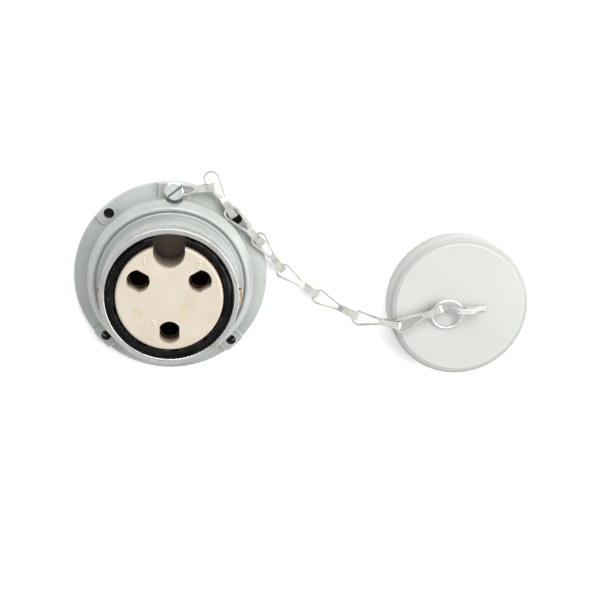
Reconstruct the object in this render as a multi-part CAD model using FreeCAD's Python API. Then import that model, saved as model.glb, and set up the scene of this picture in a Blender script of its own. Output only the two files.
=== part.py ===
import FreeCAD, Part
import math
import os

Vector = FreeCAD.Vector

# Metal clad socket: three contacts, scraping earth, seal ring and a cap on a chain.
# Origin at the centre of the flange's back face, +Z along the socket towards its mouth.
# Lengths are in millimetres and angles in degrees.

# Flange of the cast housing
FLANGE_WIDTH = 6.7
FLANGE_EDGE = 3.2
FLANGE_ROOT = 5.4
MOUNT_INSET = 3.5
MOUNT_HOLE_R = 2.4
MOUNT_ANGLES = (42.7, 132.7, 222.7, 312.7)
BOSS_R = 5.8
BOSS_TOP = 5.5
PAD_WIDTH = 14.4
PAD_ANGLE = 87.3
PAD_TOP = 7.0
PAD_REACH = 9.0
CAST_ROUND = 0.7

# Barrel, its ledge and the collar round it
BARREL_R = 31.0
BARREL_TOP = 40.0
BARREL_WALL = 2.5
BARE_LENGTH = 8.4
BARE_STEP = 0.15
MOUTH_ROUND = 0.4
LEDGE_WIDTH = 2.4
LEDGE_TOP = 18.2
GROOVE_WIDTH = 1.0
GROOVE_FLOOR = 16.8
RIM_WIDTH = 1.3
COLLAR_TOP = 18.0
COLLAR_SPREAD = 2.6
COLLAR_SHOULDER = 12.0

# Back of the housing
LIP_WIDTH = 6.0
LIP_BACK = 5.0
LIP_THICKNESS = 3.0
CORE_INNER_WALL = 2.3
CORE_OUTER_WALL = 3.0
CORE_DEPTH = 11.0
RIB_WIDTH = 3.0
RIB_ANGLES = (0.0, 90.0)

# Windows in the barrel and the earth strips that spring through them
WINDOW_WIDTH = 12.5
WINDOW_BOTTOM = 21.0
WINDOW_TOP = 35.0
WINDOW_ROUND = 1.5
STRIP_THICKNESS = 0.7
STRIP_WIDTH = 7.0
STRIP_OFFSET = -2.6
STRIP_FOOT = 12.0
STRIP_REACH = 1.2
STRIP_FLAT = 2.5
STRIP_BEND = 0.5
STRIP_CLEAR = 0.1
STRIP_TIP_CLEAR = 1.0
POCKET_FLOOR = 9.0
POCKET_DEPTH = 1.9
RIVET_R = 1.0
RIVET_HEAD_R = 1.9
RIVET_HEAD = 0.8
RIVET_LENGTH = 5.0
RIVET_RISE = 3.0

# Moulded insert
SEAL_WIDTH = 4.8
INSERT_TOP = 41.5
INSERT_ROUND = 1.2
SEAL_SEAT = 32.8
FIT = 0.1
SLIDE_FIT = 0.3
KEYWAY_WIDTH = 14.0
KEYWAY_BOTTOM_Y = 13.7
KEYWAY_FLOOR = 20.0
PIN_CIRCLE_R = 15.6
PIN_ANGLES = (150.0, 30.0, 270.0)
PIN_FLATS = 8.8
PIN_ROUND_R = 5.1

# Seal ring
SEAL_BASE = 3.4
SEAL_CROWN = 6.5
SEAL_GAP = 1.0
SEAL_ROUND = 1.2

# Contacts and their terminals
CONTACT_WALL = 1.0
CONTACT_BORE_R = 4.0
CONTACT_TOP = 34.2
CONTACT_FLOOR = 14.0
CONTACT_SHOULDER = 1.0
CONTACT_SHOULDER_LENGTH = 2.0
SLOT_WIDTH = 0.9
SLOT_BOTTOM = 18.0
POST_WIDTH = 8.0
POST_DEPTH = 6.5
POST_BACK = 2.6
WIRE_HOLE_R = 1.6
CLAMP_R = 1.5
CLAMP_HEAD_R = 2.6
CLAMP_HEAD = 1.5
CLAMP_LENGTH = 1.6

# Screws that hold the insert, and the earth screw, all in the lip
LIP_SCREW_R = 1.5
LIP_SCREW_HEAD_R = 2.5
LIP_SCREW_HEAD = 1.7
LIP_SCREW_LENGTH = 9.0
LIP_SCREW_INSET = 3.2
LIP_SCREW_ANGLES = (62.0, 242.0)
EARTH_SCREW_ANGLE = 330.0
EARTH_SCREW_LENGTH = 2.6
DRIVE_SLOT_WIDTH = 0.8
DRIVE_SLOT_DEPTH = 0.7
RUN_CLEAR = 0.05

# Chain screw on the pad
CHAIN_SCREW_INSET = 3.2
CHAIN_SEAT_R = 5.6
CHAIN_SCREW_R = 2.0
CHAIN_SCREW_HEAD_R = 4.1
CHAIN_SCREW_HEAD = 2.6
CHAIN_SCREW_DEPTH = 5.0
CHAIN_SCREW_SLOT = 1.1
CHAIN_SCREW_SLOT_DEPTH = 1.1
CHAIN_SCREW_TURN = 38.0
HEAD_ROUND = 0.5

# One chain link: a sheet blank folded on itself, two drop-shaped rings and a neck with an eye
SHEET = 0.6
RING_LENGTH = 15.0
RING_WIDTH = 7.5
RING_TAPER = 12.0
STRAND = 1.0
LAYER_GAP = 0.1
EYE_WIDTH = 3.5
EYE_GAP = 2.4
LINK_LENGTH = 24.8
FLARE = 1.4
LINK_CLEAR = 0.1

# How the chain lies: heading and slope of each link, where the next ring sits in its eye
# as slack drawn back from the eye's end, and where that next ring is hooked
LINK_HEADINGS = (5.1, -59.0, -44.8, -53.2, -35.8, -25.1, -4.1, 25.0)
LINK_SLOPES = (0.0, 0.0, 0.0, -13.6, 0.0, 15.4, 21.9, 0.5)
LINK_SLACKS = (2.0, 3.6, 4.6, 1.65, 0.8, 1.0, 1.2, 3.6)
FIRST_RING_SLACK = 1.28
SIDE_HOOK_LINK = 1
SIDE_HOOK_AT = 7.0

# Wire ring between the last link and the cap, with the places on it where each holds it
WIRE_R = 0.45
WIRE_RING_R = 7.4
WIRE_RING_HOOK = 167.0
WIRE_RING_LUG = 21.1652
WIRE_RING_TILT = 14.3

# Cap with its lug
CAP_WALL = 2.1
CAP_FIT = 0.3
CAP_HEIGHT = 13.5
CAP_TOP_WALL = 2.6
CAP_ROUND = 2.0
BEAD_INSET = 2.4
BEAD_STEP = 0.5
LUG_LENGTH = 22.0
LUG_THICKNESS = 2.2
LUG_HEIGHT = 7.4
LUG_SHIFT = 1.5
LUG_TIP = 1.1
LUG_TIP_LENGTH = 3.2
LUG_TIP_RISE = 0.4
LUG_END_ROUND = 0.5
LUG_ROOT_ROUND = 2.0
LUG_CREST = 7.0
LUG_CREST_ROUND = 2.5
LUG_EYE_SHIFT = 0.5388
LUG_EYE_R = 2.3
LUG_EYE_RISE = 3.6

# Radii and places that follow from the ones above
BORE_R = BARREL_R - BARREL_WALL
LIP_BORE_R = BORE_R - LIP_WIDTH
LIP_SCREW_CIRCLE = BORE_R - LIP_SCREW_INSET
INSERT_R = BORE_R - SEAL_WIDTH
LEDGE_R = BARREL_R + LEDGE_WIDTH
COLLAR_INNER_R = LEDGE_R + GROOVE_WIDTH
COLLAR_RIM_R = COLLAR_INNER_R + RIM_WIDTH
COLLAR_R = COLLAR_RIM_R + COLLAR_SPREAD
FLANGE_R = COLLAR_R + FLANGE_WIDTH
PAD_INNER_R = FLANGE_R - PAD_REACH
MOUNT_R = FLANGE_R - MOUNT_INSET
INSERT_BACK = LIP_BACK + LIP_THICKNESS
INSERT_BASE_R = BORE_R - SLIDE_FIT
POCKET_X = INSERT_BASE_R - POCKET_DEPTH
CONTACT_R = CONTACT_BORE_R + CONTACT_WALL
CONTACT_SHOULDER_R = CONTACT_R + CONTACT_SHOULDER
LINK_THICKNESS = 2.0 * SHEET
RING_R = RING_WIDTH / 2.0
RING_INNER_R = RING_R - STRAND
EYE_END = LINK_LENGTH - SHEET
CHAIN_LEVEL = PAD_TOP + LINK_CLEAR + LINK_THICKNESS / 2.0
CAP_BORE_R = BARREL_R + CAP_FIT
CAP_R = CAP_BORE_R + CAP_WALL


def polar(radius, angle, z=0.0):
    turn = math.radians(angle)
    return Vector(radius * math.cos(turn), radius * math.sin(turn), z)


def flat_point(u, v):
    return Vector(u, v, 0)


def section_point(u, v):
    return Vector(u, 0, v)


def side_point(u, v):
    return Vector(0, u, v)


def rounded_wire(corners, point=flat_point):
    """Closed wire through corners (u, v, radius), each corner rounded by its radius."""
    spots = [Vector(u, v, 0) for u, v, _ in corners]
    enters, leaves, middles = [], [], []
    for index, here in enumerate(spots):
        radius = corners[index][2]
        back = (spots[index - 1] - here).normalize()
        ahead = (spots[(index + 1) % len(spots)] - here).normalize()
        half = back.getAngle(ahead) / 2.0
        if radius == 0:
            enters.append(here)
            leaves.append(here)
            middles.append(None)
            continue
        run = radius / math.tan(half)
        bisector = (back + ahead).normalize()
        enters.append(here + back * run)
        leaves.append(here + ahead * run)
        middles.append(here + bisector * (radius / math.sin(half) - radius))
    edges = []
    for index, middle in enumerate(middles):
        enter, leave = enters[index], leaves[index]
        following = enters[(index + 1) % len(spots)]
        if middle is not None:
            arc = Part.Arc(point(enter.x, enter.y), point(middle.x, middle.y), point(leave.x, leave.y))
            edges.append(arc.toShape())
        if leave.distanceToPoint(following) > 1e-6:
            line = Part.LineSegment(point(leave.x, leave.y), point(following.x, following.y))
            edges.append(line.toShape())
    return Part.Wire(edges)


def prism(corners, direction, point=flat_point):
    return Part.Face(rounded_wire(corners, point)).extrude(direction)


def revolved(corners):
    face = Part.Face(rounded_wire(corners, section_point))
    return face.revolve(Vector(0, 0, 0), Vector(0, 0, 1), 360)


def rod(radius, low, high, centre=Vector(0, 0, 0)):
    return Part.makeCylinder(radius, high - low, Vector(centre.x, centre.y, low))


def box(x_range, y_range, z_range):
    size = [high - low for low, high in (x_range, y_range, z_range)]
    return Part.makeBox(*size, Vector(x_range[0], y_range[0], z_range[0]))


def turned(shape, angle, centre=Vector(0, 0, 0)):
    moved = shape.copy()
    moved.rotate(centre, Vector(0, 0, 1), angle)
    return moved


def fused(shapes):
    return shapes[0].multiFuse(shapes[1:]).removeSplitter()


def cut_all(shape, tools):
    return shape.cut(tools).removeSplitter()


def keyway(top, clearance=0.0):
    half = KEYWAY_WIDTH / 2.0 + clearance
    bottom = KEYWAY_BOTTOM_Y - clearance
    top_y = BORE_R + 1
    corners = [
        (-half, bottom, half - 1e-3),
        (half, bottom, half - 1e-3),
        (half, top_y, 0),
        (-half, top_y, 0),
    ]
    shape = prism(corners, Vector(0, 0, top - KEYWAY_FLOOR))
    shape.translate(Vector(0, 0, KEYWAY_FLOOR))
    return shape


def cheese_screw(shank_r, length, head_r, head, slot_width, slot_depth, slot_turn=0.0):
    """Slotted screw, head up, with the head's underside at z = 0."""
    rounding = min(HEAD_ROUND, head / 3.0)
    profile = [
        (0, -length, 0),
        (shank_r, -length, 0),
        (shank_r, 0, 0),
        (head_r, 0, 0),
        (head_r, head, rounding),
        (0, head, 0),
    ]
    half = slot_width / 2.0
    slot = box((-head_r - 1, head_r + 1), (-half, half), (head - slot_depth, head + 1))
    return revolved(profile).cut(turned(slot, slot_turn))


def housing_section():
    bare_r = BARREL_R - BARE_STEP
    bare_from = BARREL_TOP - BARE_LENGTH
    return revolved([
        (BORE_R, 0, 0),
        (FLANGE_R, 0, CAST_ROUND),
        (FLANGE_R, FLANGE_EDGE, CAST_ROUND),
        (COLLAR_R, FLANGE_ROOT, CAST_ROUND),
        (COLLAR_R, COLLAR_SHOULDER, CAST_ROUND),
        (COLLAR_RIM_R, COLLAR_TOP, RIM_WIDTH / 3.0),
        (COLLAR_INNER_R, COLLAR_TOP, RIM_WIDTH / 3.0),
        (COLLAR_INNER_R, GROOVE_FLOOR, 0),
        (LEDGE_R, GROOVE_FLOOR, 0),
        (LEDGE_R, LEDGE_TOP, CAST_ROUND / 2.0),
        (BARREL_R, LEDGE_TOP, CAST_ROUND),
        (BARREL_R, bare_from, 0),
        (bare_r, bare_from, 0),
        (bare_r, BARREL_TOP, MOUTH_ROUND),
        (BORE_R, BARREL_TOP, MOUTH_ROUND),
        (BORE_R, INSERT_BACK, 0),
        (LIP_BORE_R, INSERT_BACK, 0),
        (LIP_BORE_R, LIP_BACK, 0),
        (BORE_R, LIP_BACK, 0),
    ])


def boss(angle):
    return rod(BOSS_R, 0, BOSS_TOP, polar(MOUNT_R, angle))


def pad():
    half = PAD_WIDTH / 2.0
    return turned(box((PAD_INNER_R, FLANGE_R), (-half, half), (0, PAD_TOP)), PAD_ANGLE)


def back_core():
    """Ring-shaped hollow cast under the collar, crossed by ribs."""
    inner = BORE_R + CORE_INNER_WALL
    outer = COLLAR_R - CORE_OUTER_WALL
    hollow = rod(outer, -1, CORE_DEPTH).cut(rod(inner, -2, CORE_DEPTH + 1))
    half = RIB_WIDTH / 2.0
    rib = box((-FLANGE_R, FLANGE_R), (-half, half), (-2, CORE_DEPTH + 1))
    ribs = [turned(rib, angle) for angle in RIB_ANGLES]
    return hollow.cut(ribs)


def window(side):
    half = WINDOW_WIDTH / 2.0
    corners = [
        (-half, WINDOW_BOTTOM, WINDOW_ROUND),
        (half, WINDOW_BOTTOM, WINDOW_ROUND),
        (half, WINDOW_TOP, WINDOW_ROUND),
        (-half, WINDOW_TOP, WINDOW_ROUND),
    ]
    cutter = prism(corners, Vector(side * (BARREL_R + 1), 0, 0), side_point)
    return cutter.cut(rod(BORE_R - 1, 0, BARREL_TOP))


def lip_screw_spots():
    return [polar(LIP_SCREW_CIRCLE, angle) for angle in LIP_SCREW_ANGLES]


def housing():
    disc = rod(FLANGE_R, 0, PAD_TOP)
    raised = fused([boss(angle) for angle in MOUNT_ANGLES] + [pad()]).common(disc)
    body = fused([housing_section(), raised])
    holes = [rod(MOUNT_HOLE_R, -1, BOSS_TOP + 1, polar(MOUNT_R, angle)) for angle in MOUNT_ANGLES]
    hole_floor = PAD_TOP - CHAIN_SCREW_DEPTH - FIT
    holes.append(rod(CHAIN_SCREW_R + RUN_CLEAR, hole_floor, PAD_TOP + 1, chain_screw_spot()))
    holes.append(rod(CHAIN_SEAT_R, PAD_TOP, COLLAR_TOP + 1, chain_screw_spot()))
    lip_spots = lip_screw_spots() + [polar(LIP_SCREW_CIRCLE, EARTH_SCREW_ANGLE)]
    holes += [rod(LIP_SCREW_R + RUN_CLEAR, LIP_BACK - 1, INSERT_BACK + 1, spot) for spot in lip_spots]
    return cut_all(body, holes + [back_core(), window(1), window(-1)])


def chain_screw_spot():
    return polar(FLANGE_R - CHAIN_SCREW_INSET, PAD_ANGLE)


def pin_entry(angle):
    """Round hole with two flats that run towards the centre of the face."""
    half = PIN_FLATS / 2.0
    round_hole = rod(PIN_ROUND_R, CONTACT_TOP, INSERT_TOP + 1)
    flats = box((-PIN_ROUND_R - 1, PIN_ROUND_R + 1), (-half, half), (CONTACT_TOP, INSERT_TOP + 1))
    hole = round_hole.common(flats)
    hole.translate(Vector(PIN_CIRCLE_R, 0, 0))
    return turned(hole, angle)


def contact_seat(angle):
    spot = polar(PIN_CIRCLE_R, angle)
    shoulder_top = INSERT_BACK + CONTACT_SHOULDER_LENGTH + FIT
    barrel_seat = rod(CONTACT_R + FIT, INSERT_BACK - 1, CONTACT_TOP + FIT, spot)
    shoulder_seat = rod(CONTACT_SHOULDER_R + FIT, INSERT_BACK - 1, shoulder_top, spot)
    return barrel_seat.fuse(shoulder_seat)


def strip_pocket(side):
    half = WINDOW_WIDTH / 2.0
    x_range = sorted((side * POCKET_X, side * BORE_R))
    return box(x_range, (-half, half), (POCKET_FLOOR, SEAL_SEAT + 1))


def rivet_height():
    return STRIP_FOOT + RIVET_RISE


def rivet_hole(side, clearance):
    start = Vector(side * (POCKET_X - RIVET_LENGTH - FIT), STRIP_OFFSET, rivet_height())
    return Part.makeCylinder(RIVET_R + clearance, RIVET_LENGTH * 2, start, Vector(side, 0, 0))


def insert():
    body = revolved([
        (0, INSERT_BACK, 0),
        (INSERT_BASE_R, INSERT_BACK, 0),
        (INSERT_BASE_R, SEAL_SEAT, 0),
        (INSERT_R, SEAL_SEAT, 0),
        (INSERT_R, INSERT_TOP, INSERT_ROUND),
        (0, INSERT_TOP, 0),
    ])
    tools = [keyway(INSERT_TOP + 1)]
    for angle in PIN_ANGLES:
        tools += [pin_entry(angle), contact_seat(angle)]
    for side in (1, -1):
        tools += [strip_pocket(side), rivet_hole(side, RUN_CLEAR)]
    depth = LIP_BACK + LIP_SCREW_LENGTH + FIT
    tools += [rod(LIP_SCREW_R + RUN_CLEAR, 0, depth, spot) for spot in lip_screw_spots()]
    return cut_all(body, tools)


def seal_ring():
    inner = INSERT_R + FIT
    outer = BORE_R - FIT
    low = SEAL_SEAT + FIT / 2.0
    body = revolved([
        (inner, low, 0),
        (outer, low, 0),
        (outer, low + SEAL_BASE, 0),
        (outer - SEAL_GAP, low + SEAL_BASE, 0),
        (outer - SEAL_GAP, low + SEAL_CROWN, SEAL_ROUND),
        (inner + SEAL_GAP, low + SEAL_CROWN, SEAL_ROUND),
        (inner + SEAL_GAP, low + SEAL_BASE, 0),
        (inner, low + SEAL_BASE, 0),
    ])
    return body.cut(keyway(BARREL_TOP + 1))


def contact(angle):
    shoulder_top = INSERT_BACK + CONTACT_SHOULDER_LENGTH
    body = revolved([
        (0, INSERT_BACK, 0),
        (CONTACT_SHOULDER_R, INSERT_BACK, 0),
        (CONTACT_SHOULDER_R, shoulder_top, 0),
        (CONTACT_R, shoulder_top, 0),
        (CONTACT_R, CONTACT_TOP, CONTACT_WALL / 3.0),
        (CONTACT_BORE_R, CONTACT_TOP, CONTACT_WALL / 3.0),
        (CONTACT_BORE_R, CONTACT_FLOOR, 0),
        (0, CONTACT_FLOOR, 0),
    ])
    half = SLOT_WIDTH / 2.0
    slot = box((-CONTACT_R - 1, CONTACT_R + 1), (-half, half), (SLOT_BOTTOM, CONTACT_TOP + 1))
    post_x, post_y = POST_DEPTH / 2.0, POST_WIDTH / 2.0
    post = box((-post_x, post_x), (-post_y, post_y), (POST_BACK, INSERT_BACK))
    wire_z = (POST_BACK + INSERT_BACK) / 2.0
    wire_start = Vector(-POST_DEPTH, 0, wire_z)
    wire_hole = Part.makeCylinder(WIRE_HOLE_R, POST_DEPTH * 2, wire_start, Vector(1, 0, 0))
    clamp_hole = rod(CLAMP_R + RUN_CLEAR, POST_BACK - 1, wire_z)
    body = fused([body, post]).cut([slot, turned(slot, 90), wire_hole, clamp_hole])
    body.translate(Vector(PIN_CIRCLE_R, 0, 0))
    return turned(body, angle)


def flipped(shape, spot, z):
    """Screw drawn head up, set head down under the height z."""
    moved = shape.copy()
    moved.rotate(Vector(0, 0, 0), Vector(1, 0, 0), 180)
    moved.translate(Vector(spot.x, spot.y, z))
    return moved


def clamp_screw(angle):
    screw = cheese_screw(
        CLAMP_R, CLAMP_LENGTH, CLAMP_HEAD_R, CLAMP_HEAD, DRIVE_SLOT_WIDTH, DRIVE_SLOT_DEPTH, angle
    )
    return flipped(screw, polar(PIN_CIRCLE_R, angle), POST_BACK)


def lip_screw(spot, length, angle):
    screw = cheese_screw(
        LIP_SCREW_R, length, LIP_SCREW_HEAD_R, LIP_SCREW_HEAD, DRIVE_SLOT_WIDTH, DRIVE_SLOT_DEPTH, angle
    )
    return flipped(screw, spot, LIP_BACK)


def band_corners(points, thickness, rounding):
    """Outline of a bent strip whose inner face follows the points (u, v)."""
    spots = [Vector(u, v, 0) for u, v in points]
    outer = []
    for index, here in enumerate(spots):
        runs = []
        if index > 0:
            runs.append((here - spots[index - 1]).normalize())
        if index + 1 < len(spots):
            runs.append((spots[index + 1] - here).normalize())
        normals = [Vector(run.y, -run.x, 0) for run in runs]
        mean = sum(normals[1:], normals[0]).normalize()
        outer.append(here + mean * (thickness / mean.dot(normals[0])))
    ends = (0, len(spots) - 1)
    inner_side = [(p.x, p.y, 0 if i in ends else rounding) for i, p in enumerate(spots)]
    outer_side = [(p.x, p.y, 0 if i in ends else rounding) for i, p in enumerate(outer)]
    return inner_side + outer_side[::-1]


def earth_strip(side):
    """Brass spring that lies on the insert and bows out through the window."""
    foot_x = POCKET_X + STRIP_CLEAR
    bow_x = BARREL_R + STRIP_REACH - STRIP_THICKNESS
    tip_x = BORE_R - STRIP_THICKNESS
    bend = WINDOW_BOTTOM + WINDOW_ROUND
    middle = (bend + SEAL_SEAT) / 2.0
    points = [
        (foot_x, STRIP_FOOT),
        (foot_x, bend),
        (bow_x, middle),
        (bow_x, middle + STRIP_FLAT),
        (tip_x, SEAL_SEAT - STRIP_TIP_CLEAR),
    ]
    half = STRIP_WIDTH / 2.0
    face = Part.Face(rounded_wire(band_corners(points, STRIP_THICKNESS, STRIP_BEND), section_point))
    strip = face.extrude(Vector(0, STRIP_WIDTH, 0))
    strip.translate(Vector(0, STRIP_OFFSET - half, 0))
    if side < 0:
        strip = strip.mirror(Vector(0, 0, 0), Vector(1, 0, 0))
    return strip.cut(rivet_hole(side, RUN_CLEAR))


def earth_rivet(side):
    under_head = POCKET_X + STRIP_CLEAR + STRIP_THICKNESS + RUN_CLEAR
    profile = [
        (0, -RIVET_LENGTH, 0),
        (RIVET_R, -RIVET_LENGTH, 0),
        (RIVET_R, 0, 0),
        (RIVET_HEAD_R, 0, 0),
        (RIVET_HEAD_R, RIVET_HEAD, RIVET_HEAD / 2.0),
        (0, RIVET_HEAD, 0),
    ]
    rivet = revolved(profile)
    rivet.rotate(Vector(0, 0, 0), Vector(0, 1, 0), 90 * side)
    rivet.translate(Vector(side * under_head, STRIP_OFFSET, rivet_height()))
    return rivet


def chain_screw():
    screw = cheese_screw(
        CHAIN_SCREW_R,
        CHAIN_SCREW_DEPTH + LINK_THICKNESS + 2 * LINK_CLEAR,
        CHAIN_SCREW_HEAD_R,
        CHAIN_SCREW_HEAD,
        CHAIN_SCREW_SLOT,
        CHAIN_SCREW_SLOT_DEPTH,
        CHAIN_SCREW_TURN,
    )
    screw.translate(chain_screw_spot() + Vector(0, 0, CHAIN_LEVEL + LINK_THICKNESS / 2.0 + LINK_CLEAR))
    return screw


def taper_half(radius, start, x):
    """Half the width at x of a round end that begins at start and tapers straight."""
    corner = radius / math.tan(math.radians(90.0 - RING_TAPER) / 2.0)
    return corner - (x - start) * math.tan(math.radians(RING_TAPER))


def drop_corners(radius, start, end):
    wide, narrow = taper_half(radius, start, start), taper_half(radius, start, end)
    rounding = radius - 1e-4
    return [(start, -wide, rounding), (end, -narrow, 0), (end, narrow, 0), (start, wide, rounding)]


def ring_layer(low, high):
    rise = Vector(0, 0, high - low)
    outer = prism(drop_corners(RING_R, 0, RING_LENGTH), rise)
    inner = prism(drop_corners(RING_INNER_R, STRAND, RING_LENGTH - STRAND), rise)
    layer = outer.cut(inner)
    layer.translate(Vector(0, 0, low))
    return layer


def neck():
    """The two layers of the neck, spread apart and joined by the fold that forms the eye."""
    inner_half = EYE_GAP / 2.0
    outer_half = inner_half + SHEET
    layer_in = LAYER_GAP / 2.0
    layer_out = SHEET
    start = RING_LENGTH - STRAND
    flare_end = start + STRAND + FLARE
    bend = LINK_LENGTH - outer_half
    lead = SHEET / 2.0
    profile = [
        (start, layer_out, 0),
        (flare_end - lead, outer_half, 0),
        (LINK_LENGTH, outer_half, outer_half - 1e-3),
        (LINK_LENGTH, -outer_half, outer_half - 1e-3),
        (flare_end - lead, -outer_half, 0),
        (start, -layer_out, 0),
        (start, -layer_in, 0),
        (start + STRAND / 2.0, -layer_in, 0),
        (flare_end, -inner_half, 0),
        (bend + inner_half, -inner_half, inner_half - 1e-3),
        (bend + inner_half, inner_half, inner_half - 1e-3),
        (flare_end, inner_half, 0),
        (start + STRAND / 2.0, layer_in, 0),
        (start, layer_in, 0),
    ]
    shape = prism(profile, Vector(0, EYE_WIDTH, 0), section_point)
    shape.translate(Vector(0, -EYE_WIDTH / 2.0, 0))
    slim, wide = taper_half(RING_R, 0, RING_LENGTH), EYE_WIDTH / 2.0
    sides = [(start, -slim, 0), (RING_LENGTH, -slim, 0), (LINK_LENGTH, -wide, 0)]
    sides += [(u, -v, 0) for u, v, _ in reversed(sides)]
    plan = prism(sides, Vector(0, 0, 2 * outer_half))
    plan.translate(Vector(0, 0, -outer_half))
    return shape.common(plan)


def link_blank():
    layer_in = LAYER_GAP / 2.0
    return fused([ring_layer(layer_in, SHEET), ring_layer(-SHEET, -layer_in), neck()])


def hook_inset():
    """Middle of the part of a ring's end that lies inside an eye, from the ring's start."""
    sagitta = RING_INNER_R - math.sqrt(RING_INNER_R ** 2 - (EYE_WIDTH / 2.0) ** 2)
    return (STRAND + sagitta) / 2.0


def side_hook_half():
    """Distance from a link's axis to the middle of the strand hooked on its side."""
    strand_half = STRAND / 2.0 / math.cos(math.radians(RING_TAPER))
    return taper_half(RING_R, 0, SIDE_HOOK_AT) - strand_half


def taut_seat():
    """Where that middle lies along the link with the chain pulled tight."""
    inner_half = EYE_GAP / 2.0
    bend = LINK_LENGTH - inner_half - SHEET
    bend_reach = math.sqrt(inner_half ** 2 - (LINK_THICKNESS / 2.0) ** 2)
    return bend + bend_reach - LINK_CLEAR - hook_inset()


def link_frame(heading, slope):
    """Directions along a link, across it and out of its face."""
    along = Vector(
        math.cos(math.radians(heading)) * math.cos(math.radians(slope)),
        math.sin(math.radians(heading)) * math.cos(math.radians(slope)),
        math.sin(math.radians(slope)),
    )
    across = polar(1.0, heading + 90.0)
    return along, across, along.cross(across)


def chain_layout():
    """Start point and directions of every link, and the point where the ring hangs."""
    along, across, normal = link_frame(LINK_HEADINGS[0], LINK_SLOPES[0])
    ring_centre = RING_R + FIRST_RING_SLACK
    start = chain_screw_spot() + Vector(0, 0, CHAIN_LEVEL) - along * ring_centre
    places = []
    for index, slack in enumerate(LINK_SLACKS):
        parent_along = along
        along, across, normal = link_frame(LINK_HEADINGS[index], LINK_SLOPES[index])
        if index == SIDE_HOOK_LINK:
            start = hook - along * SIDE_HOOK_AT + across * side_hook_half()
        elif index > 0:
            pull = flat_point(parent_along.dot(along), parent_along.dot(across)).normalize()
            spoke = pull * (hook_inset() - RING_R)
            start = hook - along * (RING_R + spoke.x) - across * spoke.y
        places.append((start, along, across, normal))
        hook = start + along * (taut_seat() - slack)
    return places, hook


def placed(shape, start, along, across, normal):
    matrix = FreeCAD.Matrix(
        along.x, across.x, normal.x, start.x,
        along.y, across.y, normal.y, start.y,
        along.z, across.z, normal.z, start.z,
        0, 0, 0, 1,
    )
    moved = shape.copy()
    moved.Placement = FreeCAD.Placement(matrix)
    return moved


def wire_ring_centre(hook):
    """Centre of the tilted ring, from the place where its wire crosses the last eye."""
    tilt = math.radians(WIRE_RING_TILT)
    spoke = polar(WIRE_RING_R, WIRE_RING_HOOK)
    return hook - Vector(spoke.x, spoke.y * math.cos(tilt), spoke.y * math.sin(tilt))


def wire_ring(hook):
    ring = Part.makeTorus(WIRE_RING_R, WIRE_R)
    ring.rotate(Vector(0, 0, 0), Vector(1, 0, 0), WIRE_RING_TILT)
    ring.translate(wire_ring_centre(hook))
    return ring


def lug():
    """Upright tab across the cap, low at its tips, pierced for the ring."""
    half = LUG_LENGTH / 2.0
    low = -CAP_TOP_WALL / 2.0
    crest = LUG_CREST / 2.0
    corners = [
        (-half, low, 0),
        (half, low, 0),
        (half, LUG_TIP, LUG_END_ROUND),
        (half - LUG_TIP_LENGTH, LUG_TIP + LUG_TIP_RISE, LUG_ROOT_ROUND),
        (crest, LUG_HEIGHT, LUG_CREST_ROUND),
        (-crest, LUG_HEIGHT, LUG_CREST_ROUND),
        (LUG_TIP_LENGTH - half, LUG_TIP + LUG_TIP_RISE, LUG_ROOT_ROUND),
        (-half, LUG_TIP, LUG_END_ROUND),
    ]
    tab = prism(corners, Vector(0, LUG_THICKNESS, 0), section_point)
    tab.translate(Vector(LUG_SHIFT, -LUG_THICKNESS / 2.0, CAP_HEIGHT))
    eye_start = Vector(LUG_EYE_SHIFT, -LUG_THICKNESS, CAP_HEIGHT + LUG_EYE_RISE)
    return tab.cut(Part.makeCylinder(LUG_EYE_R, 2 * LUG_THICKNESS, eye_start, Vector(0, 1, 0)))


def lug_crossing():
    """Where the ring's wire passes through the lug."""
    _, hook = chain_layout()
    tilt = math.radians(WIRE_RING_TILT)
    spoke = polar(WIRE_RING_R, WIRE_RING_LUG)
    return wire_ring_centre(hook) + Vector(spoke.x, spoke.y * math.cos(tilt), spoke.y * math.sin(tilt))


def cap():
    """Cap set where its lug's eye holds the wire ring."""
    shell = revolved([
        (CAP_BORE_R, 0, MOUTH_ROUND),
        (CAP_R, 0, MOUTH_ROUND),
        (CAP_R, CAP_HEIGHT - BEAD_STEP, CAP_ROUND),
        (CAP_R - BEAD_INSET, CAP_HEIGHT - BEAD_STEP, 0),
        (CAP_R - BEAD_INSET - BEAD_STEP, CAP_HEIGHT, 0),
        (0, CAP_HEIGHT, 0),
        (0, CAP_HEIGHT - CAP_TOP_WALL, 0),
        (CAP_BORE_R, CAP_HEIGHT - CAP_TOP_WALL, CAST_ROUND),
    ])
    body = fused([shell, lug()])
    crossing = lug_crossing()
    body.translate(Vector(crossing.x - LUG_EYE_SHIFT, crossing.y, 0))
    return body


def socket_pieces():
    pieces = {"housing": housing(), "insert": insert(), "seal_ring": seal_ring()}
    pieces["chain_screw"] = chain_screw()
    for number, angle in enumerate(PIN_ANGLES, 1):
        pieces[f"contact_{number}"] = contact(angle)
        pieces[f"terminal_screw_{number}"] = clamp_screw(angle)
    for name, side in (("right", 1), ("left", -1)):
        pieces[f"earth_strip_{name}"] = earth_strip(side)
        pieces[f"earth_rivet_{name}"] = earth_rivet(side)
    for number, (spot, angle) in enumerate(zip(lip_screw_spots(), LIP_SCREW_ANGLES), 1):
        pieces[f"insert_screw_{number}"] = lip_screw(spot, LIP_SCREW_LENGTH, angle)
    earth_spot = polar(LIP_SCREW_CIRCLE, EARTH_SCREW_ANGLE)
    pieces["earth_screw"] = lip_screw(earth_spot, EARTH_SCREW_LENGTH, EARTH_SCREW_ANGLE)
    return pieces


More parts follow.
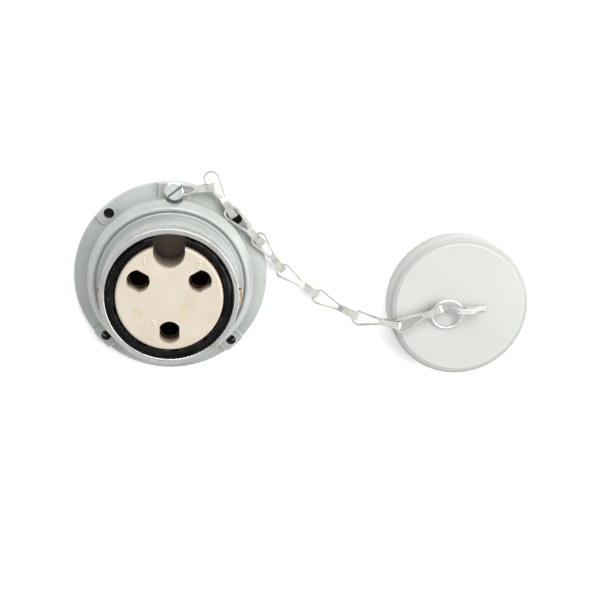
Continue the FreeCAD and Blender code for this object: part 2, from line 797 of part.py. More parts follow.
def chain_pieces():
    places, hook = chain_layout()
    blank = link_blank()
    pieces = {f"chain_link_{number}": placed(blank, *place) for number, place in enumerate(places, 1)}
    pieces["cap_ring"] = wire_ring(hook)
    pieces["cap"] = cap()
    return pieces


def single(shape):
    return shape.Solids[0] if len(shape.Solids) == 1 else shape


def main():
    os.makedirs("parts", exist_ok=True)
    pieces = socket_pieces()
    pieces.update(chain_pieces())
    for name, shape in pieces.items():
        single(shape).exportStep(f"parts/{name}.step")
        print(name, len(shape.Solids), round(shape.Volume, 2), shape.isValid())


main()
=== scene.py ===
import math

import bmesh
import bpy
from mathutils import Matrix, Vector


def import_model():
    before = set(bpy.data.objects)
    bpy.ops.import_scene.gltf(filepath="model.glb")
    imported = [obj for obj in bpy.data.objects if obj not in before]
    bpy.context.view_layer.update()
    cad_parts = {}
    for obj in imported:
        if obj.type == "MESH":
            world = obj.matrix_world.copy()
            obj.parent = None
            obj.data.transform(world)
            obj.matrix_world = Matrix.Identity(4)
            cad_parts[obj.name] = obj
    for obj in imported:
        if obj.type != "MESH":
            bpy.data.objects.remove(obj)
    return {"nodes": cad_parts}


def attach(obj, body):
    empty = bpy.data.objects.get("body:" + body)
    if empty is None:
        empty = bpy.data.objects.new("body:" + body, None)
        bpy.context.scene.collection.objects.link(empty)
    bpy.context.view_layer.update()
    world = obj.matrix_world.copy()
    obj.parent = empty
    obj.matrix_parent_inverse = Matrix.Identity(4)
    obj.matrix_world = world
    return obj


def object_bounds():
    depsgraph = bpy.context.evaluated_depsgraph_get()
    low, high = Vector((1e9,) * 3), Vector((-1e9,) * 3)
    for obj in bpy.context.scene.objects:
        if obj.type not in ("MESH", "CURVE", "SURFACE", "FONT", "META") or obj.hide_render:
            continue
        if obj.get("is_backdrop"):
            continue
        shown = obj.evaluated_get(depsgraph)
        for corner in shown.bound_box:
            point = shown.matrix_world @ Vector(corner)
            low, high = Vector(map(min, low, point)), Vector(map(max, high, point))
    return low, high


# The object's own measures in millimetres, as its solids have them
MM = 0.001
BARE_FROM = 31.6
BARREL_R = 31.0
BORE_R = 28.5
WINDOW_BOTTOM = 21.0
WINDOW_TOP = 35.0
COLLAR_RIM_R = 35.7
COLLAR_TOP = 18.0
FLANGE_R = 45.0
MOUNT_R = 41.5
MOUNT_CLOCK = -2.3
MOUNT_HOLE_R = 2.4
INSERT_TOP = 41.5
INSERT_BACK = 8.0
POCKET_FROM = 24.8
SCREW_SPOT = (1.97, 41.75)
SCREW_TURN = 38.0
SCREW_SLOT_HALF = 0.5
SCREW_SLOT_TOP = 10.8
SEAL_EDGES = (24.95, 27.25)
NUMERALS = {"1": (-10.6, 16.6), "2": (13.3, 15.3), "3": (-6.8, -12.0)}
NUMERAL_SIZE = 5.5
NUMERAL_RISE = 0.10
NUMERAL_SWELL = 0.10
NUMERAL_ROUND = 0.08
NUMERAL_SUNK = 0.02
CAP_X, CAP_Y, CAP_R = 136.3, -12.3, 33.4
CAP_RIM = 2.6

# Floor and lights. The floor gives a little light itself, to keep its shadows pale
FLOOR_HALF = 6.0
FLOOR_DROP = 0.2
FLOOR_GLOW = 0.16
SKY_STRENGTH = 0.76
KEY_WATTS = 5.6
TOP_WATTS = 6.4
LIT_MIDDLE = (0.06, 0.0, 0.01)

# Camera found from the photograph: tilt, turn and shift of the object before a lens
VIEW_TILT = 0.2767
VIEW_TURN = 0.0867
VIEW_X = -60.7865
VIEW_Y = 11.9516
VIEW_DISTANCE = 555.6
VIEW_FOCAL_PIXELS = 1176.4
PICTURE_PIXELS = 600

# Colours, linear
GREY_PAINT = (0.400, 0.424, 0.405, 1.0)
GREY_PAINT_DEEP = (0.306, 0.322, 0.304, 1.0)
# Light colour for rubbed paint and painted highlight along outer edges
PAINT_RUBBED_HIGHLIGHT = (0.80, 0.82, 0.80, 1.0)
CAP_PAINT = (0.485, 0.501, 0.478, 1.0)
CAP_PAINT_DEEP = (0.446, 0.462, 0.438, 1.0)
# Colour of the painted shade on the cap's rim
CAP_RIM_SHADE = (0.336, 0.344, 0.328, 1.0)
BARE_ALLOY = (0.70, 0.70, 0.68, 1.0)
BARE_ALLOY_DARK = (0.46, 0.465, 0.45, 1.0)
BARE_ALLOY_SCRATCH = (0.86, 0.87, 0.87, 1.0)
BARE_ALLOY_WARM = (0.435, 0.374, 0.287, 1.0)
IVORY = (0.518, 0.445, 0.358, 1.0)
IVORY_PALE = (0.554, 0.502, 0.419, 1.0)
IVORY_STAIN = (0.504, 0.415, 0.281, 1.0)
IVORY_RAISED = (0.645, 0.589, 0.505, 1.0)
# Colour of the painted shade in the insert's holes and corners
IVORY_SHADE = (0.2, 0.152, 0.104, 1.0)
RUBBER = (0.003, 0.003, 0.003, 1.0)
RUBBER_WORN = (0.012, 0.012, 0.012, 1.0)
# Colour of the painted highlight lines on the seal's edges
RUBBER_EDGE_HIGHLIGHT = (0.20, 0.20, 0.19, 1.0)
BRASS = (0.62, 0.40, 0.17, 1.0)
BRASS_DULL = (0.33, 0.20, 0.09, 1.0)
# Dark colour for painted shade in the contact tubes and the screw slot
BRASS_SHADE = (0.035, 0.024, 0.016, 1.0)
ZINC = (0.90, 0.95, 0.95, 1.0)
ZINC_DULL = (0.55, 0.60, 0.60, 1.0)
NICKEL = (0.90, 0.89, 0.84, 1.0)
NICKEL_DULL = (0.46, 0.45, 0.41, 1.0)
STEEL_WIRE = (0.93, 0.94, 0.95, 1.0)
STEEL_WIRE_DULL = (0.78, 0.80, 0.81, 1.0)
STRIP_BRASS = (0.3, 0.21, 0.143, 1.0)
STRIP_BRASS_DULL = (0.21, 0.143, 0.098, 1.0)
# Dark colour for painted shade in corners, in hollows and on the floor under the flange
PAINTED_SHADE = (0.10, 0.095, 0.085, 1.0)
FLOOR_PALE = (0.96, 0.96, 0.96, 1.0)
FLOOR_DULL = (0.95, 0.95, 0.95, 1.0)

# How strong the painted shade in the hollows is, 0 to 1
WINDOW_DARK = 0.94
HOLE_DARK = 0.92
TUBE_DARK = 0.93
PIN_HOLE_DARK = 0.86
SLOT_DARK = 0.66


# Shader groups that several finishes share

def new_group(name, inputs, outputs):
    """Node group with named inputs (name, kind, value) and outputs (name, kind)."""
    tree = bpy.data.node_groups.new(name, "ShaderNodeTree")
    for label, kind, value in inputs:
        kind = f"NodeSocket{kind}"
        socket = tree.interface.new_socket(name=label, in_out="INPUT", socket_type=kind)
        socket.default_value = value
    for label, kind in outputs:
        tree.interface.new_socket(name=label, in_out="OUTPUT", socket_type=f"NodeSocket{kind}")
    return tree, tree.nodes.new("NodeGroupInput"), tree.nodes.new("NodeGroupOutput")


def add(tree, kind, **settings):
    """Node of a kind, with properties set and sockets given by number (as s0=...) or linked."""
    node = tree.nodes.new(f"ShaderNode{kind}")
    for key, value in settings.items():
        if key[0] == "s" and key[1:].isdigit():
            feed(tree, node.inputs[int(key[1:])], value)
        else:
            setattr(node, key, value)
    return node


def feed(tree, socket, value):
    if isinstance(value, bpy.types.NodeSocket):
        tree.links.new(value, socket)
    else:
        socket.default_value = value


def math_node(tree, operation, first, second=0.0, clamp=False):
    return add(tree, "Math", operation=operation, use_clamp=clamp, s0=first, s1=second).outputs[0]


def ramp(tree, value, low, high):
    """0 at low to 1 at high, smooth and clamped."""
    node = add(tree, "MapRange", interpolation_type="SMOOTHSTEP", s0=value, s1=low, s2=high)
    return node.outputs[0]


def fall(tree, value, low, high):
    """1 at low to 0 at high, smooth and clamped."""
    return math_node(tree, "SUBTRACT", 1.0, ramp(tree, value, low, high))


def product(tree, *values):
    result = values[0]
    for value in values[1:]:
        result = math_node(tree, "MULTIPLY", result, value)
    return result


def place_parts(tree):
    """Object coordinates, whole and split."""
    coordinates = tree.nodes.new("ShaderNodeTexCoord").outputs["Object"]
    split = add(tree, "SeparateXYZ", s0=coordinates)
    return coordinates, split.outputs[0], split.outputs[1], split.outputs[2]


def blotch_group():
    """Soft uneven patches, 0 to 1."""
    tree, inside, out = new_group(
        "patches",
        [
            ("Size", "Float", 0.01),
            ("Low", "Float", 0.4),
            ("High", "Float", 0.6),
            ("Detail", "Float", 4.0),
        ],
        [("Mask", "Float")],
    )
    coordinates, _, _, _ = place_parts(tree)
    scale = math_node(tree, "DIVIDE", 1.0, inside.outputs["Size"])
    noise = add(tree, "TexNoise", s0=coordinates, s2=scale, s3=inside.outputs["Detail"], s4=0.55)
    low, high = inside.outputs["Low"], inside.outputs["High"]
    node = add(tree, "MapRange", s0=noise.outputs[0], s1=low, s2=high)
    tree.links.new(node.outputs[0], out.inputs["Mask"])
    return tree


def grain_group():
    """Fine surface unevenness as a normal."""
    tree, inside, out = new_group(
        "surface_grain",
        [
            ("Size", "Float", 0.001),
            ("Strength", "Float", 0.3),
            ("Depth", "Float", 0.0001),
            ("Smooth", "Float", 0.5),
        ],
        [("Normal", "Vector")],
    )
    coordinates, _, _, _ = place_parts(tree)
    scale = math_node(tree, "DIVIDE", 1.0, inside.outputs["Size"])
    noise = add(tree, "TexNoise", s0=coordinates, s2=scale, s3=6.0, s4=inside.outputs["Smooth"])
    bump = add(tree, "Bump", s0=inside.outputs["Strength"], s1=inside.outputs["Depth"])
    tree.links.new(noise.outputs[0], bump.inputs["Height"])
    tree.links.new(bump.outputs[0], out.inputs["Normal"])
    return tree


def turned_group():
    """Tool marks that run round an upright axis, 0 to 1."""
    tree, inside, out = new_group(
        "turned_marks",
        [("Centre", "Vector", (0.0, 0.0, 0.0)), ("Pitch", "Float", 0.0003), ("Run", "Float", 3.0)],
        [("Marks", "Float"), ("Radius", "Float")],
    )
    coordinates, _, _, _ = place_parts(tree)
    centre = inside.outputs["Centre"]
    moved = add(tree, "VectorMath", operation="SUBTRACT", s0=coordinates, s1=centre)
    split = add(tree, "SeparateXYZ", s0=moved.outputs[0])
    across = math_node(tree, "MULTIPLY", split.outputs[0], split.outputs[0])
    along = math_node(tree, "MULTIPLY", split.outputs[1], split.outputs[1])
    radius = math_node(tree, "SQRT", math_node(tree, "ADD", across, along))
    angle = math_node(tree, "ARCTAN2", split.outputs[1], split.outputs[0])
    fine = math_node(tree, "DIVIDE", radius, inside.outputs["Pitch"])
    rise = math_node(tree, "DIVIDE", split.outputs[2], inside.outputs["Pitch"])
    run = math_node(tree, "MULTIPLY", angle, inside.outputs["Run"])
    wound = add(tree, "CombineXYZ", s0=run, s1=fine, s2=rise)
    noise = add(tree, "TexNoise", s0=wound.outputs[0], s2=1.0, s3=3.0, s4=0.5)
    tree.links.new(noise.outputs[0], out.inputs["Marks"])
    tree.links.new(radius, out.inputs["Radius"])
    return tree


def scratch_group():
    """Thin straight scratches in two directions, 0 to 1."""
    tree, inside, out = new_group(
        "scratches",
        [("Size", "Float", 0.004), ("Amount", "Float", 0.5)],
        [("Mask", "Float")],
    )
    coordinates, _, _, _ = place_parts(tree)
    scale = math_node(tree, "DIVIDE", 1.0, inside.outputs["Size"])
    masks = []
    for turn, stretch in ((0.6, (18.0, 0.7, 14.0)), (-0.9, (24.0, 0.6, 14.0))):
        mapped = add(tree, "Mapping", s0=coordinates)
        mapped.inputs["Rotation"].default_value = (0.0, 0.0, turn)
        mapped.inputs["Scale"].default_value = stretch
        noise = add(tree, "TexNoise", s0=mapped.outputs[0], s2=scale, s3=2.0, s4=0.5)
        masks.append(ramp(tree, noise.outputs[0], 0.62, 0.70))
    both = math_node(tree, "MAXIMUM", masks[0], masks[1])
    tree.links.new(math_node(tree, "MULTIPLY", both, inside.outputs["Amount"]), out.inputs["Mask"])
    return tree


def crevice_group():
    """Painted shade in corners, from how hollow the surface is, 0 to 1."""
    tree, inside, out = new_group(
        "painted_corner_shade",
        [("Reach", "Float", 0.003), ("Amount", "Float", 0.6)],
        [("Mask", "Float")],
    )
    hollow = add(tree, "AmbientOcclusion", samples=6, s1=inside.outputs["Reach"])
    shade = math_node(tree, "SUBTRACT", 1.0, hollow.outputs["AO"])
    amount = math_node(tree, "MULTIPLY", shade, inside.outputs["Amount"], clamp=True)
    tree.links.new(amount, out.inputs["Mask"])
    return tree


def edge_group():
    """Rubbed paint and a painted highlight along outer edges, from how sharply the surface turns
    away, 0 to 1.
    """
    tree, inside, out = new_group(
        "rubbed_and_highlit_edges",
        [("Reach", "Float", 0.0005), ("Amount", "Float", 1.0)],
        [("Mask", "Float")],
    )
    reach = inside.outputs["Reach"]
    turned_away = add(tree, "AmbientOcclusion", samples=6, inside=True, only_local=True, s1=reach)
    shade = math_node(tree, "SUBTRACT", 1.0, turned_away.outputs["AO"])
    amount = math_node(tree, "MULTIPLY", shade, inside.outputs["Amount"], clamp=True)
    tree.links.new(amount, out.inputs["Mask"])
    return tree


GROUPS = {}


def build_groups():
    GROUPS["patches"] = blotch_group()
    GROUPS["grain"] = grain_group()
    GROUPS["turned"] = turned_group()
    GROUPS["scratches"] = scratch_group()
    GROUPS["corner_shade"] = crevice_group()
    GROUPS["edges"] = edge_group()


def use(tree, group, **values):
    node = tree.nodes.new("ShaderNodeGroup")
    node.node_tree = GROUPS[group]
    for label, value in values.items():
        feed(tree, node.inputs[label], value)
    return node


def mix(tree, factor, first, second):
    node = tree.nodes.new("ShaderNodeMix")
    node.data_type = "RGBA"
    for index, value in ((0, factor), (6, first), (7, second)):
        feed(tree, node.inputs[index], value)
    return node.outputs[2]


def blend_value(tree, factor, low, high):
    node = add(tree, "MapRange", s0=factor, s1=0.0, s2=1.0, s3=low, s4=high)
    return node.outputs[0]


def shader_of(tree):
    return next(node for node in tree.nodes if node.type == "BSDF_PRINCIPLED")


def new_finish(name):
    material = bpy.data.materials.new(name)
    material.use_nodes = True
    tree = material.node_tree
    shader = shader_of(tree)
    return material, tree, shader


# Finishes

def window_shade(tree, radius, height):
    """Painted shade on the faces inside the two side windows and on their sills, 0 to 1."""
    inner = fall(tree, radius, (BARREL_R - 0.7) * MM, (BARREL_R - 0.2) * MM)
    above = ramp(tree, height, (WINDOW_BOTTOM - 1.5) * MM, (WINDOW_BOTTOM - 0.5) * MM)
    below = fall(tree, height, (WINDOW_TOP + 0.5) * MM, (WINDOW_TOP + 2.5) * MM)
    faces = product(tree, inner, above, below)
    level = math_node(tree, "ABSOLUTE", math_node(tree, "SUBTRACT", height, WINDOW_BOTTOM * MM))
    within = fall(tree, radius, (BARREL_R - 0.02) * MM, BARREL_R * MM)
    sill = product(tree, fall(tree, level, 0.03 * MM, 0.08 * MM), within)
    return product(tree, math_node(tree, "MAXIMUM", faces, sill), WINDOW_DARK)


def hole_shade(tree):
    """Painted shade on the walls of the four flange holes, 0 to 1."""
    coordinates, _, _, _ = place_parts(tree)
    clock = math.radians(-MOUNT_CLOCK)
    turned = add(tree, "VectorRotate", rotation_type="Z_AXIS", s0=coordinates, s3=clock)
    quarter = add(tree, "VectorMath", operation="ABSOLUTE", s0=turned.outputs[0])
    split = add(tree, "SeparateXYZ", s0=quarter.outputs[0])
    spot = MOUNT_R * MM / math.sqrt(2.0)
    across = math_node(tree, "POWER", math_node(tree, "SUBTRACT", split.outputs[0], spot), 2.0)
    along = math_node(tree, "POWER", math_node(tree, "SUBTRACT", split.outputs[1], spot), 2.0)
    away = math_node(tree, "SQRT", math_node(tree, "ADD", across, along))
    near = fall(tree, away, (MOUNT_HOLE_R + 0.03) * MM, (MOUNT_HOLE_R + 0.10) * MM)
    return product(tree, near, HOLE_DARK)


def paint_layers(tree, shader, colour, deep):
    """Satin grey paint on a casting: its colour, roughness and normal."""
    patches = use(tree, "patches", Size=0.022, Low=0.35, High=0.72, Detail=5.0).outputs["Mask"]
    # Painted shade darkens the paint in corners
    corner_shade = use(tree, "corner_shade", Reach=0.004, Amount=0.55).outputs["Mask"]
    paint = mix(tree, patches, colour, deep)
    paint = mix(tree, math_node(tree, "MULTIPLY", corner_shade, 0.5), paint, PAINTED_SHADE)
    # Rubbed paint and painted highlight lighten the outer edges
    rubbed_highlight = use(tree, "edges", Reach=0.0007, Amount=2.4).outputs["Mask"]
    paint = mix(tree, math_node(tree, "MULTIPLY", rubbed_highlight, patches), paint, PAINT_RUBBED_HIGHLIGHT)
    grain = use(tree, "grain", Size=0.0016, Strength=0.5, Depth=0.00014, Smooth=0.6)
    roughness = blend_value(tree, patches, 0.36, 0.50)
    shader.inputs["Specular IOR Level"].default_value = 0.5
    return paint, roughness, grain.outputs["Normal"]


def cap_paint():
    """Painted cap with painted shade on its rim."""
    material, tree, shader = new_finish("cap_paint")
    paint, roughness, normal = paint_layers(tree, shader, CAP_PAINT, CAP_PAINT_DEEP)
    radius = use(tree, "turned", Centre=(CAP_X * MM, CAP_Y * MM, 0.0)).outputs["Radius"]
    # Painted shade on the cap's rounded rim
    rim = ramp(tree, radius, (CAP_R - CAP_RIM) * MM, (CAP_R - CAP_RIM + 0.9) * MM)
    paint = mix(tree, math_node(tree, "MULTIPLY", rim, 0.75), paint, CAP_RIM_SHADE)
    feed(tree, shader.inputs["Base Color"], paint)
    feed(tree, shader.inputs["Roughness"], roughness)
    feed(tree, shader.inputs["Normal"], normal)
    return material


def mouth_metal(tree, radius, height, edge):
    """Machined bare ring at the mouth of the barrel, 0 to 1."""
    wobble = math_node(tree, "MULTIPLY", edge, 0.0004)
    low_edge = math_node(tree, "ADD", BARE_FROM * MM - 0.0002, wobble)
    mouth = ramp(tree, height, low_edge, math_node(tree, "ADD", low_edge, 0.0002))
    inner = ramp(tree, radius, (BORE_R - 0.6) * MM, (BORE_R - 0.2) * MM)
    return product(tree, mouth, inner)


def worn_highlit_rim(tree, radius, height, edge):
    """Paint worn off, with a painted highlight, along the collar's rim, 0 to 1."""
    from_rim = math_node(tree, "SUBTRACT", radius, (COLLAR_RIM_R - 0.15) * MM)
    rim = fall(tree, math_node(tree, "ABSOLUTE", from_rim), 0.1 * MM, 0.5 * MM)
    high = ramp(tree, height, (COLLAR_TOP - 0.8) * MM, (COLLAR_TOP - 0.2) * MM)
    return product(tree, rim, high, edge)


def alloy_tone(tree, marks):
    """Turned light alloy with stains and scratches."""
    scratches = use(tree, "scratches", Size=0.006, Amount=0.45).outputs["Mask"]
    alloy = mix(tree, marks, BARE_ALLOY, BARE_ALLOY_DARK)
    stain = use(tree, "patches", Size=0.009, Low=0.50, High=0.75, Detail=3.0).outputs["Mask"]
    alloy = mix(tree, math_node(tree, "MULTIPLY", stain, 0.6), alloy, BARE_ALLOY_WARM)
    return mix(tree, scratches, alloy, BARE_ALLOY_SCRATCH)


def housing_paint():
    """Painted housing with bare metal at its mouth, worn paint with a painted highlight along the
    collar's rim, and painted shade in its windows and flange holes.
    """
    material, tree, shader = new_finish("housing_paint")
    paint, roughness, normal = paint_layers(tree, shader, GREY_PAINT, GREY_PAINT_DEEP)
    _, _, _, height = place_parts(tree)
    turned = use(tree, "turned", Pitch=0.00035, Run=2.0)
    radius = turned.outputs["Radius"]
    edge = use(tree, "patches", Size=0.003, Low=0.3, High=0.7, Detail=3.0).outputs["Mask"]
    metal = mouth_metal(tree, radius, height, edge)
    # Worn paint and a painted highlight along the collar's rim
    worn_highlight = worn_highlit_rim(tree, radius, height, edge)
    both = math_node(tree, "MAXIMUM", metal, math_node(tree, "MULTIPLY", worn_highlight, 0.55))
    marks = ramp(tree, turned.outputs["Marks"], 0.35, 0.68)
    tone = mix(tree, both, paint, alloy_tone(tree, marks))
    # Painted shade in the side windows and the flange holes
    hollow_shade = math_node(tree, "MAXIMUM", window_shade(tree, radius, height), hole_shade(tree))
    feed(tree, shader.inputs["Base Color"], mix(tree, hollow_shade, tone, PAINTED_SHADE))
    seen = math_node(tree, "SUBTRACT", 1.0, hollow_shade)
    feed(tree, shader.inputs["Metallic"], product(tree, both, seen))
    metal_rough = math_node(tree, "ADD", 0.26, math_node(tree, "MULTIPLY", marks, 0.16))
    rough = add(tree, "Mix", s0=both, s2=roughness, s3=metal_rough)
    feed(tree, shader.inputs["Roughness"], rough.outputs[0])
    relief = math_node(tree, "MULTIPLY", turned.outputs["Marks"], both)
    lines = add(tree, "Bump", s0=0.35, s1=0.00005)
    tree.links.new(relief, lines.inputs["Height"])
    tree.links.new(normal, lines.inputs["Normal"])
    feed(tree, shader.inputs["Normal"], lines.outputs[0])
    return material


def ivory_moulding(name, tone, pale):
    material, tree, shader = new_finish(name)
    cloud = use(tree, "patches", Size=0.012, Low=0.35, High=0.70, Detail=4.0).outputs["Mask"]
    stain = use(tree, "patches", Size=0.0075, Low=0.58, High=0.74, Detail=3.0).outputs["Mask"]
    fleck = use(tree, "patches", Size=0.0011, Low=0.70, High=0.78, Detail=2.0).outputs["Mask"]
    body = mix(tree, cloud, tone, pale)
    body = mix(tree, math_node(tree, "MULTIPLY", stain, 0.75), body, IVORY_STAIN)
    body = mix(tree, math_node(tree, "MULTIPLY", fleck, 0.35), body, BRASS_DULL)
    _, _, _, height = place_parts(tree)
    # Painted shade, darker further below the insert's top face, down into its holes and keyway
    depth = fall(tree, height, (INSERT_TOP - 6.5) * MM, (INSERT_TOP - 0.1) * MM)
    inside = product(tree, depth, ramp(tree, height, INSERT_BACK * MM, (INSERT_BACK + 2.0) * MM))
    body = mix(tree, math_node(tree, "MULTIPLY", inside, PIN_HOLE_DARK), body, IVORY_SHADE)
    # Painted shade: the insert's side below its top, seen through the windows, is painted black
    radius = use(tree, "turned").outputs["Radius"]
    pocket = product(tree, ramp(tree, radius, POCKET_FROM * MM, (POCKET_FROM + 0.5) * MM), depth)
    body = mix(tree, pocket, body, RUBBER)
    # Painted shade in the insert's corners
    corner_shade = use(tree, "corner_shade", Reach=0.0007, Amount=0.9).outputs["Mask"]
    body = mix(tree, corner_shade, body, IVORY_SHADE)
    feed(tree, shader.inputs["Base Color"], body)
    feed(tree, shader.inputs["Roughness"], blend_value(tree, cloud, 0.34, 0.46))
    shader.inputs["Specular IOR Level"].default_value = 0.45
    shader.inputs["Coat Weight"].default_value = 0.08
    grain = use(tree, "grain", Size=0.0016, Strength=0.45, Depth=0.00014, Smooth=0.55)
    feed(tree, shader.inputs["Normal"], grain.outputs["Normal"])
    return material


def seal_rubber():
    material, tree, shader = new_finish("seal_rubber")
    dust = use(tree, "patches", Size=0.004, Low=0.45, High=0.75, Detail=5.0).outputs["Mask"]
    black = mix(tree, math_node(tree, "MULTIPLY", dust, 0.7), RUBBER, RUBBER_WORN)
    radius = use(tree, "turned").outputs["Radius"]
    # Painted highlight lines along the two crown edges of the seal
    for edge in SEAL_EDGES:
        away = math_node(tree, "ABSOLUTE", math_node(tree, "SUBTRACT", radius, edge * MM))
        near = fall(tree, away, 0.04 * MM, 0.20 * MM)
        black = mix(tree, math_node(tree, "MULTIPLY", near, dust), black, RUBBER_EDGE_HIGHLIGHT)
    feed(tree, shader.inputs["Base Color"], black)
    feed(tree, shader.inputs["Roughness"], blend_value(tree, dust, 0.16, 0.30))
    shader.inputs["Specular IOR Level"].default_value = 0.14
    grain = use(tree, "grain", Size=0.0007, Strength=0.16, Depth=0.00008, Smooth=0.6)
    feed(tree, shader.inputs["Normal"], grain.outputs["Normal"])
    return material


def plated(name, bright, dull, rough_low, rough_high, centre=None, size=0.0035):
    """Bright metal with dull patches, fine grain, and turned marks where centre is given."""
    material, tree, shader = new_finish(name)
    patches = use(tree, "patches", Size=size, Low=0.42, High=0.72, Detail=5.0).outputs["Mask"]
    # Painted shade darkens the metal in corners
    corner_shade = use(tree, "corner_shade", Reach=0.0012, Amount=0.6).outputs["Mask"]
    tone = mix(tree, patches, bright, dull)
    tone = mix(tree, math_node(tree, "MULTIPLY", corner_shade, 0.55), tone, PAINTED_SHADE)
    grain = use(tree, "grain", Size=0.0005, Strength=0.18, Depth=0.00004, Smooth=0.6)
    normal = grain.outputs["Normal"]
    roughness = blend_value(tree, patches, rough_low, rough_high)
    if centre is not None:
        turned = use(tree, "turned", Centre=centre, Pitch=0.00022, Run=1.6)
        lines = add(tree, "Bump", s0=0.5, s1=0.00004)
        tree.links.new(turned.outputs["Marks"], lines.inputs["Height"])
        tree.links.new(normal, lines.inputs["Normal"])
        normal = lines.outputs[0]
    feed(tree, shader.inputs["Base Color"], tone)
    feed(tree, shader.inputs["Roughness"], roughness)
    feed(tree, shader.inputs["Normal"], normal)
    shader.inputs["Metallic"].default_value = 1.0
    return material


def slotted_zinc():
    """Bright chain screw with painted shade in its slot."""
    place = (SCREW_SPOT[0] * MM, SCREW_SPOT[1] * MM, 0.0)
    material = plated("zinc_screw", ZINC, ZINC_DULL, 0.24, 0.40, centre=place)
    tree = material.node_tree
    shader = shader_of(tree)
    bright = shader.inputs["Base Color"].links[0].from_socket
    coordinates, _, _, height = place_parts(tree)
    clock = math.radians(-SCREW_TURN)
    turn = add(tree, "VectorRotate", rotation_type="Z_AXIS", s0=coordinates, s1=place, s3=clock)
    moved = add(tree, "VectorMath", operation="SUBTRACT", s0=turn.outputs[0], s1=place)
    across = math_node(tree, "ABSOLUTE", add(tree, "SeparateXYZ", s0=moved.outputs[0]).outputs[1])
    half = SCREW_SLOT_HALF * MM
    # Painted shade in the slot
    near = fall(tree, across, half, half + 0.08 * MM)
    low = fall(tree, height, (SCREW_SLOT_TOP - 0.15) * MM, SCREW_SLOT_TOP * MM)
    slot = product(tree, near, low, SLOT_DARK)
    feed(tree, shader.inputs["Base Color"], mix(tree, slot, bright, BRASS_SHADE))
    return material


def tube_brass():
    """Brass that is bright at the terminals, with painted shade where it lies inside the insert.
    """
    material = plated("contact_brass", BRASS, BRASS_DULL, 0.30, 0.48)
    tree = material.node_tree
    shader = shader_of(tree)
    bright = shader.inputs["Base Color"].links[0].from_socket
    _, _, _, height = place_parts(tree)
    # Painted shade on the brass inside the insert
    within = ramp(tree, height, INSERT_BACK * MM, (INSERT_BACK + 2.0) * MM)
    buried = product(tree, within, TUBE_DARK)
    feed(tree, shader.inputs["Base Color"], mix(tree, buried, bright, BRASS_SHADE))
    return material


def floor_finish():
    material, tree, shader = new_finish("pale_floor")
    patches = use(tree, "patches", Size=0.35, Low=0.3, High=0.7, Detail=2.0).outputs["Mask"]
    pale = mix(tree, patches, FLOOR_PALE, FLOOR_DULL)
    # Painted shadow on the floor under the flange, seen through its holes; the floor there gives
    # no light
    radius = use(tree, "turned").outputs["Radius"]
    covered = fall(tree, radius, (FLANGE_R - 1.6) * MM, (FLANGE_R - 1.2) * MM)
    feed(tree, shader.inputs["Base Color"], mix(tree, covered, pale, PAINTED_SHADE))
    shader.inputs["Roughness"].default_value = 0.9
    shader.inputs["Specular IOR Level"].default_value = 0.1
    shader.inputs["Emission Color"].default_value = (1.0, 1.0, 1.0, 1.0)
    glow = math_node(tree, "MULTIPLY", math_node(tree, "SUBTRACT", 1.0, covered), FLOOR_GLOW)
    feed(tree, shader.inputs["Emission Strength"], glow)
    return material


def finish_nodes(nodes):
    brass = tube_brass()
    strip = plated("strip_brass", STRIP_BRASS, STRIP_BRASS_DULL, 0.38, 0.55)
    back_zinc = plated("zinc_back_screw", ZINC, ZINC_DULL, 0.28, 0.42)
    chain = plated("chain_nickel", NICKEL, NICKEL_DULL, 0.26, 0.42, size=0.006)
    wire = plated("ring_steel", STEEL_WIRE, STEEL_WIRE_DULL, 0.34, 0.50)
    finishes = {
        "housing": housing_paint(),
        "cap": cap_paint(),
        "insert": ivory_moulding("ivory_moulding", IVORY, IVORY_PALE),
        "seal_ring": seal_rubber(),
        "chain_screw": slotted_zinc(),
        "cap_ring": wire,
    }
    for name, piece in nodes.items():
        finish = finishes.get(name)
        if name.startswith("chain_link"):
            finish = chain
        elif name.startswith("insert_screw"):
            finish = back_zinc
        elif name.startswith("earth_strip") or name.startswith("earth_rivet"):
            finish = strip
        elif finish is None:
            finish = brass
        piece.data.materials.clear()
        piece.data.materials.append(finish)


# Numerals moulded beside the pin holes

def numeral(text, place, finish):
    curve = bpy.data.curves.new(f"numeral_{text}", "FONT")
    curve.body = text
    curve.size = NUMERAL_SIZE * MM
    curve.offset = NUMERAL_SWELL * MM
    curve.extrude = NUMERAL_RISE * MM
    curve.bevel_depth = NUMERAL_ROUND * MM
    curve.bevel_resolution = 1
    curve.align_x = "CENTER"
    curve.align_y = "CENTER"
    piece = bpy.data.objects.new(f"contact_numeral_{text}", curve)
    bpy.context.collection.objects.link(piece)
    piece.location = (place[0] * MM, place[1] * MM, (INSERT_TOP - NUMERAL_SUNK) * MM)
    curve.materials.append(finish)
    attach(piece, "socket")
    return piece


# Floor, lights and camera

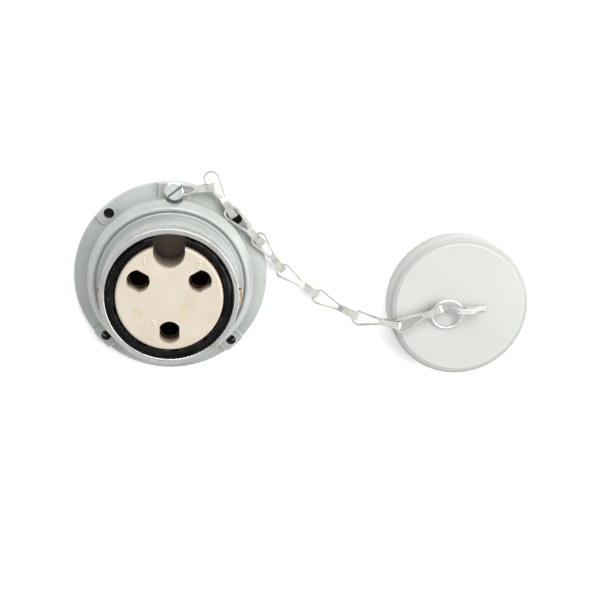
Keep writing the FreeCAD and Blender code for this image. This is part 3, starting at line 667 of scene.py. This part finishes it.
def floor():
    mesh = bpy.data.meshes.new("floor")
    shape = bmesh.new()
    bmesh.ops.create_grid(shape, x_segments=2, y_segments=2, size=FLOOR_HALF)
    shape.to_mesh(mesh)
    shape.free()
    piece = bpy.data.objects.new("floor", mesh)
    bpy.context.collection.objects.link(piece)
    piece.location = (0.0, 0.0, -FLOOR_DROP * MM)
    mesh.materials.append(floor_finish())
    piece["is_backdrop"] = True


def soft_light(name, place, size, power):
    light = bpy.data.lights.new(name, "AREA")
    light.shape = "RECTANGLE"
    light.size, light.size_y = size
    light.energy = power
    piece = bpy.data.objects.new(name, light)
    bpy.context.collection.objects.link(piece)
    piece.location = place
    aim = Vector(LIT_MIDDLE) - Vector(place)
    piece.rotation_euler = aim.to_track_quat("-Z", "Y").to_euler()


def studio():
    world = bpy.data.worlds.new("studio")
    world.use_nodes = True
    backdrop = next(node for node in world.node_tree.nodes if node.type == "BACKGROUND")
    backdrop.inputs["Color"].default_value = (1.0, 1.0, 1.0, 1.0)
    backdrop.inputs["Strength"].default_value = SKY_STRENGTH
    bpy.context.scene.world = world
    bpy.context.scene.view_settings.view_transform = "Standard"
    bpy.context.scene.view_settings.look = "None"
    soft_light("key", (0.75, 0.05, 0.60), (0.6, 0.6), KEY_WATTS)
    soft_light("top", (0.15, 0.70, 0.60), (0.9, 0.5), TOP_WATTS)


def camera():
    tilt = Matrix.Rotation(VIEW_TILT, 3, "X")
    turn = Matrix.Rotation(VIEW_TURN, 3, "Y")
    view = turn @ tilt
    spot = view.transposed() @ Vector((-VIEW_X, -VIEW_Y, VIEW_DISTANCE))
    lens = bpy.data.cameras.new("camera")
    lens.sensor_width = 36.0
    lens.lens = VIEW_FOCAL_PIXELS / PICTURE_PIXELS * lens.sensor_width
    lens.clip_start = 0.01
    piece = bpy.data.objects.new("camera", lens)
    bpy.context.collection.objects.link(piece)
    piece.matrix_world = Matrix.Translation(spot * MM) @ view.transposed().to_4x4()
    bpy.context.scene.camera = piece


def main():
    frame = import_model()
    solid_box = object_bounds()
    build_groups()
    finish_nodes(frame["nodes"])
    raised = ivory_moulding("ivory_numerals", IVORY_RAISED, IVORY_PALE)
    for text, place in NUMERALS.items():
        numeral(text, place, raised)
    floor()
    studio()
    camera()
    bpy.context.view_layer.update()
    sizes = {"solids": solid_box, "visual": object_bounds()}
    sizes = {name: [list(corner) for corner in box] for name, box in sizes.items()}


main()
